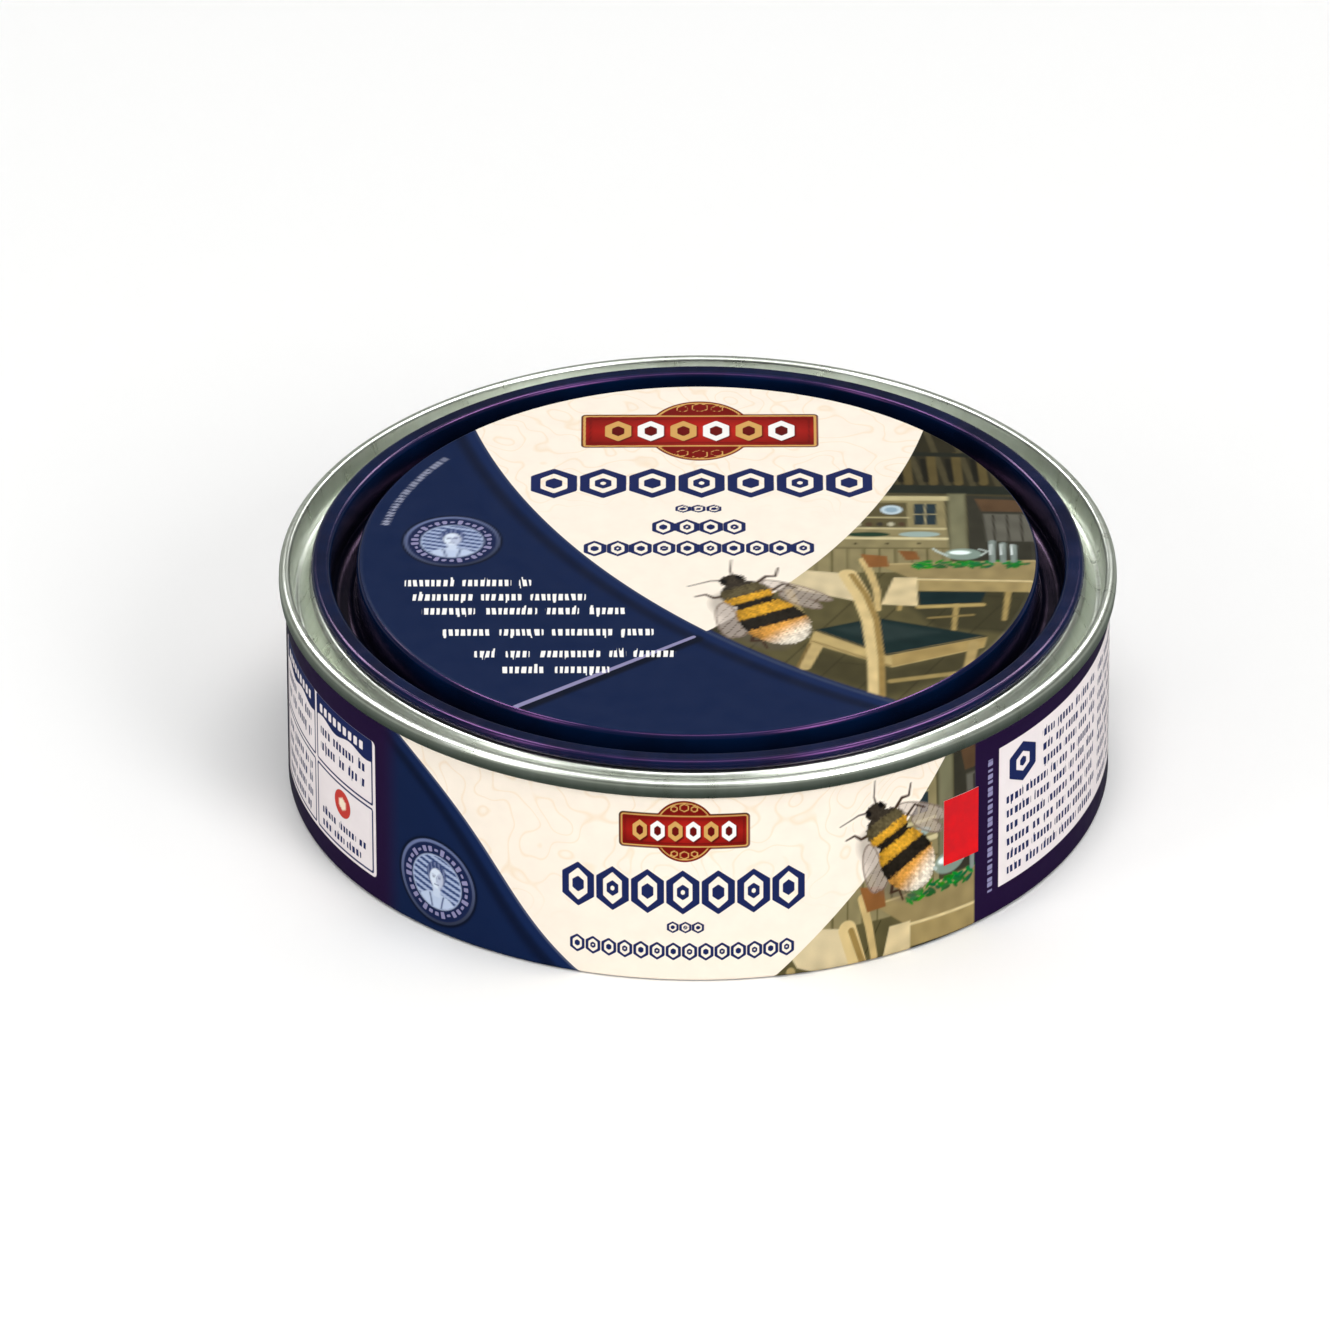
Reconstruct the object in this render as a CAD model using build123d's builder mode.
from build123d import *
import math
import os

# A round tinplate tin with a lever lid, holding set wax polish.
#
# +Z is up, the tin stands on Z = 0, and its axis is the Z axis. The label's front faces -Y. Millimetres.
# Every metal piece is one bent sheet. Its section is drawn as one line along a face of the sheet, and the
# sheet's thickness lies on the left of that line. The section is then turned about the axis.

# Driving dimensions
SHEET = 0.22  # tinplate thickness
SEAM_RADIUS = 51.5  # outside of the double seam, the standard end of 4 1/16 inches
SEAM_TOP = 28.6  # height of the double seam's top above the base
SEAM_HEIGHT = 2.2
SEAM_GAP = 0.065  # between neighbouring layers of the seam
SEAM_ROUND = 0.62  # rounding of the seam's top edges
THROAT_RADIUS = 45.4  # mouth of the ring, where the lid's plug slides
PLUG_CLEARANCE = 0.05  # radial, between the plug and the throat
FLANGE_RADIUS = 47.5  # outside of the lid's curled edge
FLANGE_RISE = 0.7  # top of the lid's flange above the seam's top
PANEL_RADIUS = 41.9  # outside of the lid's raised centre panel
PANEL_RISE = 1.0  # top of the centre panel above the seam's top
CURL_HEIGHT = 1.48  # of the lid's curled edge
SEAT_GAP = 0.03  # between the lid's curl and the bead that it rests on
CHANNEL_DEPTH = 4.8  # floor of the lid's channel below the seam's top
BASE_RECESS = 1.0  # height of the base's middle above the rim that it stands on
FILL_VOLUME = 150000.0  # of wax, in cubic millimetres
SKIN_GAP = 0.05  # between a filling or a sticker and the metal that it lies on

# Layers of the double seam, from outside to inside, by their faces
CHUCK_GAP = 0.035  # between the cup's wall and the ring's chuck wall
HOOK_GAP = 0.05  # between the ring's top and the cup's hook
LAYER_PITCH = SHEET + SEAM_GAP
SEAM_FOOT = SEAM_TOP - SEAM_HEIGHT
BODY_HOOK_INNER = SEAM_RADIUS - LAYER_PITCH - SHEET
COVER_HOOK_INNER = SEAM_RADIUS - 2 * LAYER_PITCH - SHEET
BODY_RADIUS = SEAM_RADIUS - 3 * LAYER_PITCH
CHUCK_WALL_RADIUS = BODY_RADIUS - 2 * SHEET - CHUCK_GAP
HOOK_CEILING = SEAM_TOP - 2 * SHEET - HOOK_GAP  # underside of the body hook's bend
COVER_POCKET = 0.25  # room above the ring's hook, filled with compound
BODY_POCKET = 0.23  # room below the cup's hook, filled with compound
COVER_HOOK_END = HOOK_CEILING - COVER_POCKET
BODY_HOOK_END = SEAM_FOOT + SHEET + BODY_POCKET
HOOK_ROUND = 0.17  # inside rounding of both hooks
COVER_BEAD = (0.3, 0.18, 0.08)  # compound above the ring's hook: width, height and corner rounding
BODY_BEAD = (0.3, 0.16, 0.07)  # compound below the cup's hook

BASE_ROUND = 0.6  # outside rounding where the wall meets the base
RECESS_RADIUS = 45.4  # edge of the raised middle of the base
RECESS_SLOPE = 0.9  # width of the step down from it to the rim

RECESS_ROUND = 0.5  # roundings at the two ends of that step

CREASE_TOP = SEAM_TOP - 3.5  # floor of the ring's gutter
CHUCK_SLOPE = 0.55  # the chuck wall leans inwards by this much
CREASE_WIDTH = 0.7
CREASE_ROUND = 0.35
BEAD_WIDTH = 2.1  # flat of the bead from the throat to the slope
BEAD_ROUND = 1.1
THROAT_ROUND = 0.9
BEAD_TOP = SEAM_TOP + FLANGE_RISE - CURL_HEIGHT - SEAT_GAP
THROAT_FOOT = SEAM_TOP - 6.2
HEM_WIDTH = 0.9
HEM_HEIGHT = 1.1
HEM_ROUND = 0.44
SEAM_FOOT_ROUND = 0.39

CURL_WIDTH = 1.44
CURL_END = 0.95  # height of the curl's inner edge above its foot
CURL_ROUND = 0.7
FLANGE_ROUND = 0.6
CHANNEL_ROUND = 1.2
PANEL_ROUND = 0.7
FLANGE_TOP = SEAM_TOP + FLANGE_RISE
PANEL_TOP = SEAM_TOP + PANEL_RISE
CURL_FOOT = FLANGE_TOP - CURL_HEIGHT
CHANNEL_RADIUS = THROAT_RADIUS - PLUG_CLEARANCE - SHEET
CHANNEL_FLOOR = SEAM_TOP - CHANNEL_DEPTH

WAX_RADIUS = BODY_RADIUS - SHEET - SKIN_GAP
WAX_FLOOR = BASE_RECESS + SHEET + SKIN_GAP
WAX_SINK = 0.6  # of the surface's middle below its edge
WAX_CURVE = 0.6  # share of the radius, and of the sink left, at the surface's middle point
WAX_EDGE_SLOPE = 0.06
WAX_SHIFT = 0.15  # the wax's step lies this much outside the base's
WAX_STEP_ROUND = 0.3
WAX_FOOT_ROUND = 0.5
WAX_LEVEL = WAX_FLOOR + FILL_VOLUME / (math.pi * WAX_RADIUS**2)

STICKER_THICKNESS = 0.1
STICKER_START = 35.9  # degrees from the front towards the right
STICKER_ARC = 6.0  # degrees
STICKER_TOP = SEAM_TOP - 8.9
STICKER_HEIGHT = 9.2

os.makedirs("parts", exist_ok=True)


# Drawn cup: the base with its stacking recess, the wall, and the hook folded out at its top
with BuildPart() as body_cup:
    with BuildSketch(Plane.XZ):
        with BuildLine():
            FilletPolyline(
                (0, BASE_RECESS),
                (RECESS_RADIUS, BASE_RECESS),
                (RECESS_RADIUS + RECESS_SLOPE, 0),
                (BODY_RADIUS, 0),
                (BODY_RADIUS, HOOK_CEILING),
                (BODY_HOOK_INNER, HOOK_CEILING),
                (BODY_HOOK_INNER, BODY_HOOK_END),
                radius=[RECESS_ROUND, RECESS_ROUND, BASE_ROUND, HOOK_ROUND, HOOK_ROUND],
            )
            offset(amount=SHEET, side=Side.LEFT)
        make_face()
    revolve(axis=Axis.Z)
body_cup.part.label = "body_cup"
export_step(body_cup.part, "parts/body_cup.step")


# Ring: its hook under the body's, the seam's outer wall and top, the gutter, the bead and the hemmed throat
with BuildPart() as lever_ring:
    with BuildSketch(Plane.XZ):
        with BuildLine():
            FilletPolyline(
                (COVER_HOOK_INNER, COVER_HOOK_END),
                (COVER_HOOK_INNER, SEAM_FOOT),
                (SEAM_RADIUS, SEAM_FOOT),
                (SEAM_RADIUS, SEAM_TOP),
                (CHUCK_WALL_RADIUS, SEAM_TOP),
                (CHUCK_WALL_RADIUS - CHUCK_SLOPE, CREASE_TOP),
                (CHUCK_WALL_RADIUS - CHUCK_SLOPE - CREASE_WIDTH, CREASE_TOP),
                (THROAT_RADIUS + BEAD_WIDTH, BEAD_TOP),
                (THROAT_RADIUS, BEAD_TOP),
                (THROAT_RADIUS, THROAT_FOOT),
                (THROAT_RADIUS + HEM_WIDTH, THROAT_FOOT),
                (THROAT_RADIUS + HEM_WIDTH, THROAT_FOOT + HEM_HEIGHT),
                radius=[
                    SEAM_FOOT_ROUND,
                    SEAM_FOOT_ROUND,
                    SEAM_ROUND,
                    SEAM_ROUND,
                    CREASE_ROUND,
                    CREASE_ROUND,
                    BEAD_ROUND,
                    THROAT_ROUND,
                    HEM_ROUND,
                    HEM_ROUND,
                ],
            )
            offset(amount=SHEET, side=Side.LEFT)
        make_face()
    revolve(axis=Axis.Z)
lever_ring.part.label = "lever_ring"
export_step(lever_ring.part, "parts/lever_ring.step")


# Sealing compound: one bead above the ring's hook and one below the body's hook
with BuildPart() as seam_compound:
    with BuildSketch(Plane.XZ):
        with Locations(((BODY_RADIUS + BODY_HOOK_INNER) / 2, (HOOK_CEILING + COVER_HOOK_END) / 2)):
            RectangleRounded(*COVER_BEAD)
        with Locations(((COVER_HOOK_INNER + SEAM_RADIUS) / 2, (BODY_HOOK_END + SEAM_FOOT + SHEET) / 2)):
            RectangleRounded(*BODY_BEAD)
    revolve(axis=Axis.Z)
seam_compound.part.label = "seam_compound"
export_step(seam_compound.part, "parts/seam_compound.step")


# Lid: the curled edge, the flange, the channel that plugs the throat, and the raised centre panel
with BuildPart() as lever_lid:
    with BuildSketch(Plane.XZ):
        with BuildLine():
            FilletPolyline(
                (FLANGE_RADIUS - CURL_WIDTH, CURL_FOOT + CURL_END),
                (FLANGE_RADIUS - CURL_WIDTH, CURL_FOOT),
                (FLANGE_RADIUS, CURL_FOOT),
                (FLANGE_RADIUS, FLANGE_TOP),
                (CHANNEL_RADIUS, FLANGE_TOP),
                (CHANNEL_RADIUS, CHANNEL_FLOOR),
                (PANEL_RADIUS, CHANNEL_FLOOR),
                (PANEL_RADIUS, PANEL_TOP),
                (0, PANEL_TOP),
                radius=[
                    CURL_ROUND,
                    CURL_ROUND,
                    CURL_ROUND,
                    FLANGE_ROUND,
                    CHANNEL_ROUND,
                    CHANNEL_ROUND,
                    PANEL_ROUND,
                ],
            )
            offset(amount=SHEET, side=Side.LEFT)
        make_face()
    revolve(axis=Axis.Z)
lever_lid.part.label = "lever_lid"
export_step(lever_lid.part, "parts/lever_lid.step")


# Wax: poured level, sunk a little in the middle as it set, and shaped below by the cup's base
with BuildPart() as wax_fill:
    with BuildSketch(Plane.XZ):
        with BuildLine():
            surface = Spline(
                (0, WAX_LEVEL - WAX_SINK),
                (WAX_CURVE * WAX_RADIUS, WAX_LEVEL - WAX_CURVE * WAX_SINK),
                (WAX_RADIUS, WAX_LEVEL),
                tangents=((1, 0), (1, WAX_EDGE_SLOPE)),
            )
            base = FilletPolyline(
                (0, WAX_FLOOR),
                (RECESS_RADIUS + WAX_SHIFT, WAX_FLOOR),
                (RECESS_RADIUS + RECESS_SLOPE + WAX_SHIFT, WAX_FLOOR - BASE_RECESS),
                (WAX_RADIUS, WAX_FLOOR - BASE_RECESS),
                surface @ 1,
                radius=[WAX_STEP_ROUND, WAX_STEP_ROUND, WAX_FOOT_ROUND],
            )
            Line(surface @ 0, base @ 0)
        make_face()
    revolve(axis=Axis.Z)
wax_fill.part.label = "wax_fill"
export_step(wax_fill.part, "parts/wax_fill.step")


# Sticker: a small rectangle of paper bent to the wall, right of the front
with BuildPart() as side_sticker:
    with BuildSketch(Plane.XZ.rotated((0, 0, STICKER_START - 90))):
        with Locations((BODY_RADIUS + SKIN_GAP, STICKER_TOP)):
            Rectangle(STICKER_THICKNESS, STICKER_HEIGHT, align=(Align.MIN, Align.MAX))
    revolve(axis=Axis.Z, revolution_arc=STICKER_ARC)
side_sticker.part.label = "side_sticker"
export_step(side_sticker.part, "parts/side_sticker.step")
